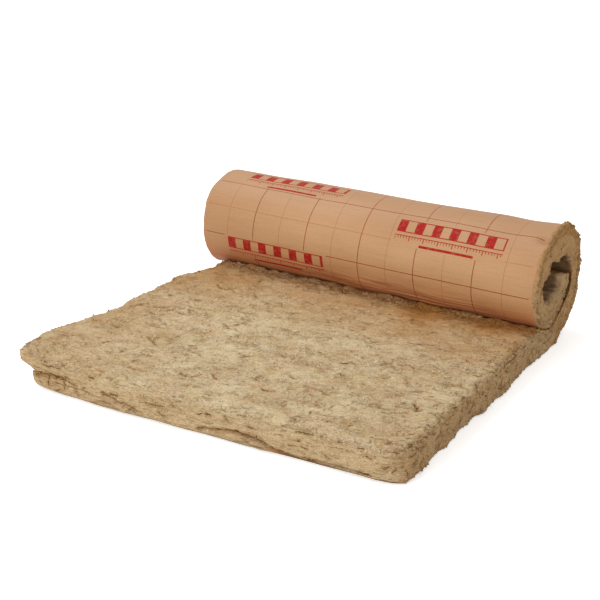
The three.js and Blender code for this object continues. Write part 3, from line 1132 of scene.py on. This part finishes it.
for _, _, *line in MARKS:
    x, u = millimetres(*line).reshape(-1, 2).T
    tear(top_grid, (u - U_FRONT) * row, (x + HALF) * column, 0.95, 1.2, 1.5)
for line in FRONT_TEARS:
    tear(front_grid, *on_front_grid(line), 0.95, 1.1, 1.4)
laid_side = (U < NIP) * smooth(0.005, 0.015, depth)
laid_top = (U < -0.14) * (0.1 + busy) * smooth(0.6, 0.585, abs(X))
low_wound = band(U, 95 * DEGREE, 120 * DEGREE, 300 * DEGREE, 340 * DEGREE) * (T < 0.14)
tears(top_grid, laid_top, 64, True, dark=(0.3, 0.78))
tears(top_grid, (U < -0.14) * smooth(0.55, 0.6, X), 44, True, wander=0.9, dark=(0.6, 1), size=1.2)
tears(front_grid, laid_side * (0.4 + busy), 36, True, wander=0.12)
tears(right_side, laid_side, 60, False, wander=0.5)
tears(right_side, (U > 0) * (T > 0.1) * (T < 0.9), 16, False, wander=0.25, dark=(0.15, 0.4), size=0.8)
tears(left_side, laid_side, 50, False, wander=0.5)
tears(right_side, low_wound, 46, False, wander=0.3, dark=(0.35, 0.8), size=0.8)
for _ in range(LIP_PASSES):
    tear(front_grid, *on_front_grid(SPLIT_LIP), 1, 1.2, 1.3, lips=0)
# the brown painted shade also spreads round the tears
paint(wool, browned=np.clip(browned + halo * (1 - browned), 0, 1))

FLOCK_LOW, FLOCK_HIGH = (-0.652, -0.668, 0.0008), (0.652, 0.668, 0.402)  # no tuft reaches out of this box
flock_points, flock_faces, grown_from, flock_shade = (join(batches) for batches in zip(*extras))
flock_points = np.clip(flock_points, FLOCK_LOW, FLOCK_HIGH)
flocks = make_mesh("loose_flocks", flock_points, [tuple(face) for face in flock_faces.tolist()], wool_look)
off_x, off_y, off_z = (flock_points - wool_points[grown_from]).T
paint(flocks, shade=flock_shade, sideways=sideness[grown_from], browned=browned[grown_from])
paint(flocks, deep=0, busy=0.5, through=depth[grown_from] + off_z)
paint(flocks, across=across[grown_from] + off_x, along=along[grown_from] + off_y)
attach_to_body(flocks, "root")

# ---- the kraft facing

FACING_HALF = 0.6
FACING_RIGHT = 0.605  # the last column, a little past the part's own edge
FACING_FRONT, FACING_END = facing_loop[0, 0] - AXIS_Y, 436 * DEGREE
CREASED_FROM, CREASED_TO = 282 * DEGREE, 345 * DEGREE  # the rows are finer between these
PAPER = 0.0007  # thickness
FIRST_LINE = 201  # degrees turned at which an axial printed line runs

run_u = np.linspace(FACING_FRONT, FACING_END, 4000)
run_s = run_of(facing_side.at(run_u))
paper_u = stretches(
    FACING_FRONT, (-0.05, 23), (-0.03, 1), (0, 2),
    (CREASED_FROM, 123), (CREASED_TO, 107), (FACING_END, 23),
)
paper_x = stretches(
    -FACING_HALF, (-0.598, 1), (-0.594, 1), (-0.588, 1), (-0.58, 1),
    (0.58, 116), (0.588, 1), (0.594, 1), (FACING_HALF, 1), (FACING_RIGHT, 1),
)
PU, PX = np.meshgrid(paper_u, paper_x, indexing="ij")
PS = np.interp(PU, run_u, run_s)
degrees = PU / DEGREE
shift_u, shift_x = lying_shift(PU, 0 * PU, PX)
shift_x = np.where(PX < 0, 0.55 * shift_x * smooth(0.25, 0, PU), shift_x)
outer = join([(PX + shift_x)[..., None], facing_side.at(PU + shift_u)], -1)
ragged = 0.002 * noise(PS / 0.11, 3, 9) + 0.0016 * noise(PS / 0.022, 8, 9) - 0.0015
outer[..., 0] += np.sign(PX) * ragged * smooth(0.57, 0.6, abs(PX))
outer = push_out(outer, PU, roll_set(PU, PX + shift_x, 1))
shown = band(degrees, 5, 30, 325, 345)
rippled = smooth(0.1, 0.5, noise(PX * 2.2 + 4, PS * 3, 8) + 0.25)
ripple = 0.0009 * noise(PX * 3, PS / 0.02, 3) * rippled
ripple += 0.0012 * noise(PX / 0.12, PS / 0.1, 12)
# the paper is creased along the roll just above the nip
creased = band(degrees, 281, 296, 336, 344)
creased *= np.clip(0.25 + 0.9 * bell(PX, 0.14, 0.27) + 0.35 * noise(PX * 2.4 + 1.5, PS * 6, 23), 0, 1)
fold_way = PS + 0.03 * noise(PX * 1.7, 2, 29)
folds = 1 - smooth(0, 0.34, abs(noise(PX * 3.6, fold_way / 0.021, 31)))
ripple += creased * (0.0031 * folds + 0.0011 * noise(PX * 7, fold_way / 0.008, 37))
rim_lift = 0.0022 * np.clip(noise(PS / 0.06, 2, 5) + 0.4, 0, 1) * smooth(0.58, 0.6, abs(PX))
outer = push_out(outer, PU, (np.clip(ripple, -0.0015, 1) + rim_lift) * shown)

outer_ids = np.arange(PU.size).reshape(PU.shape)
inner_ids = outer_ids + PU.size
outer = outer.reshape(-1, 3)
sheet_faces = quads(outer_ids, flip=True)
sheet_points = join([outer, outer - vertex_normals(outer, sheet_faces) * PAPER])
sheet_points[:, 2] = np.maximum(sheet_points[:, 2], 0)
sheet_faces += quads(inner_ids)
for edge, flip in ((0, False), (-1, True), (np.s_[:, 0], True), (np.s_[:, -1], False)):
    sheet_faces += quads(np.array([outer_ids[edge], inner_ids[edge]]), flip=flip)

S_FIRST = float(np.interp(FIRST_LINE * DEGREE, run_u, run_s))
SQUARE = 0.1  # pitch of the printed grid; every other line is bold
PANEL_PITCH = 0.6
SOFT_LINE, SOFT_EDGE = 0.0004, 0.0005  # how soft the print is
# panels of plain scale bars, staggered in two columns: x from, x to, start after the first line
PANELS = [(-0.5, -0.13, -0.103), (-0.5, -0.13, 0.197), (0.115, 0.48, 0.016)]


def paper_material():
    """Kraft pulp with a printed grid and scale bars, crinkled above the nip."""
    m = Nodes(bpy.data.materials.new("kraft_paper"))
    across, along = m.attribute("across"), m.attribute("along")
    m.lay = m.node("CombineXYZ", (across, along))[0]

    def near(value, period, half):
        """1 on lines a period apart."""
        return m.ramp(m.math("PINGPONG", value, period / 2), half + SOFT_LINE, half - SOFT_LINE)

    def between(value, low, high):
        rising = m.ramp(value, low - SOFT_EDGE, low + SOFT_EDGE)
        return m.times(rising, m.ramp(value, high + SOFT_EDGE, high - SOFT_EDGE))

    def outside(mask):
        return m.math("SUBTRACT", 1, mask)

    from_line = m.math("SUBTRACT", along, S_FIRST)
    panels, bars = [], []
    for x0, x1, start in PANELS:
        row = m.math("WRAP", m.math("SUBTRACT", from_line, start), PANEL_PITCH, 0)
        from_left = m.math("SUBTRACT", across, x0)
        panels.append(m.times(between(across, x0 - 0.012, x1 + 0.012), between(row, -1, 0.098)))
        bar = between(row, 0.006, 0.052)
        drawn = m.most(
            m.times(bar, m.ramp(m.math("WRAP", from_left, 0.06, 0), 0.0304, 0.0296)),
            m.times(bar, outside(between(row, 0.0095, 0.0485))),
            m.times(bar, m.most(between(across, x0, x0 + 0.003), between(across, x1 - 0.003, x1))),
            m.times(between(row, 0.065, 0.073), near(from_left, 0.01, 0.0012)),
            m.times(between(row, 0.065, 0.079), near(from_left, 0.05, 0.0016)),
            between(row, 0.062, 0.065),
        )
        bars.append(m.times(between(across, x0, x1), drawn))
        bars.append(m.times(between(row, 0.0865, 0.095), between(across, x0 + 0.09, x1 - 0.09)))
    bold = m.most(*(near(value, 2 * SQUARE, 0.0015) for value in (across, from_line)))
    thin = m.most(*(near(value, SQUARE, 0.001) for value in (across, from_line)))
    worn = m.ramp(m.grain((60, 60, 1), (0, 0, 0), 4, 0.7), 0.25, 0.55, 0.7, 1)
    lines = m.most(m.times(bold, 0.95), m.times(thin, 0.46))
    lines = m.times(lines, between(across, -0.588, 0.588), outside(m.most(*panels)), worn)
    blocks = m.times(m.most(*bars), worn)

    broad = m.grain((2.2, 4, 1), (3, 0, 0), 3, 0.5)
    pulp = m.grain((110, 170, 1), (0, 3, 0), 5, 0.65)
    speck = m.grain((420, 700, 1), (7, 3, 0), 2, 0.6)
    crinkle = m.grain((5.5, 125, 1), (1, 0, 0), 4, 0.68, 0.35)
    cross = m.grain((26, 40, 1), (4, 4, 0), 3, 0.5)
    folded = m.attribute("creased")
    base = m.layers(
        m.mix(m.ramp(broad, 0.34, 0.68), (173, 128, 85), (184, 140, 97)),
        (pulp, 0.4, 0.64, 0.26, (192, 148, 105)),
        (pulp, 0.48, 0.3, 0.26, (154, 106, 64)),
        (speck, 0.66, 0.78, 0.35, (150, 104, 70)),
    )
    base = m.cover(
        base,
        # the creases: dark lines in their valleys, partly dirt and partly painted shade; pale lines on their
        # ridges, painted highlight
        (m.times(m.ramp(crinkle, 0.47, 0.36), m.times(folded, 0.9)), (122, 70, 34)),
        (m.times(m.ramp(crinkle, 0.55, 0.64), m.times(folded, 0.64)), (210, 160, 112)),
        # painted shade: the lower front of the roll is darker and warmer
        (m.times(m.attribute("low"), 0.9), (171, 90, 36)),
        # painted sheen: the top of the roll is tinted greyer and a little darker
        (m.times(m.attribute("crown"), 0.26), (150, 112, 82)),
        (lines, (136, 40, 15)),
        (m.times(blocks, 0.97), (156, 10, 14)),
    )
    m.set(Base_Color=base, Roughness=m.ramp(pulp, 0.3, 0.7, 0.58, 0.7), Sheen_Weight=0.02)
    m.set(Specular_IOR_Level=m.math("MULTIPLY_ADD", blocks, -0.38, 0.5))
    folds = m.bump(m.math("MULTIPLY_ADD", cross, 0.25, m.times(crinkle, folded)), 0.005, 0.65)
    m.set(Normal=m.bump(pulp, 0.0006, 0.35, folds))
    return m.owner


def twice(values):
    """The values for the outer face, and again for the inner one."""
    return np.tile(values.ravel(), 2)


facing = make_mesh("paper_facing", sheet_points, sheet_faces, paper_material())
paint(facing, across=twice(PX), along=twice(PS), creased=twice(0.1 + 0.9 * creased))
# low is painted shade down the front of the roll, crown a painted sheen tint over its top
paint(facing, low=twice(smooth(266, 328, degrees)), crown=twice(band(degrees, 120, 160, 205, 250)))
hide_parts("kraft_facing")
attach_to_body(facing, "root")

# ---- floor, world and lamps

SKY_LIGHT = 0.64
FLOOR_GLOW = 0.5  # lifts the floor for the rays that see it, and keeps the shadow
FLOOR_SIZE, FLOOR_Z = 190, -0.0005

floor_look = Nodes(bpy.data.materials.new("floor"))
floor_look.set(Base_Color=(0.88, 0.88, 0.88, 1), Roughness=0.9, Specular_IOR_Level=0.1)
floor_glow = floor_look.times(floor_look.seen(), FLOOR_GLOW)
floor_look.set(Emission_Color=(1, 1, 1, 1), Emission_Strength=floor_glow)
bpy.ops.mesh.primitive_plane_add(size=FLOOR_SIZE, location=(0, 0, FLOOR_Z))
floor = bpy.context.active_object
floor.name = "studio_floor"
floor.data.materials.append(floor_look.owner)

# the rays that see the sky see it white, and it lights the object at SKY_LIGHT
sky = Nodes(bpy.data.worlds.new("studio"), "Background")
sky_strength = sky.math("ADD", sky.times(sky.seen(), 1 - SKY_LIGHT), SKY_LIGHT)
sky.set(Color=(1, 0.99, 0.97, 1), Strength=sky_strength)
scene.world = sky.owner

# name, place, target, size, power
for name, place, target, size, power in (
    ("key_lamp", (-4.6, 1.6, 7.4), (0, 0, 0.1), 3.6, 352),
    ("front_lamp", (-1.6, -7, 3), (0, 0, 0.2), 3.2, 220),
    ("right_lamp", (5.4, -2.6, 2.4), (0, 0, 0.15), 2.8, 36),
):
    lamp = bpy.data.lights.new(name, "AREA")
    lamp.shape, lamp.size, lamp.energy = "DISK", size, power
    stand(name, lamp, place, Vector(target) - Vector(place))

scene.view_settings.view_transform = "Standard"
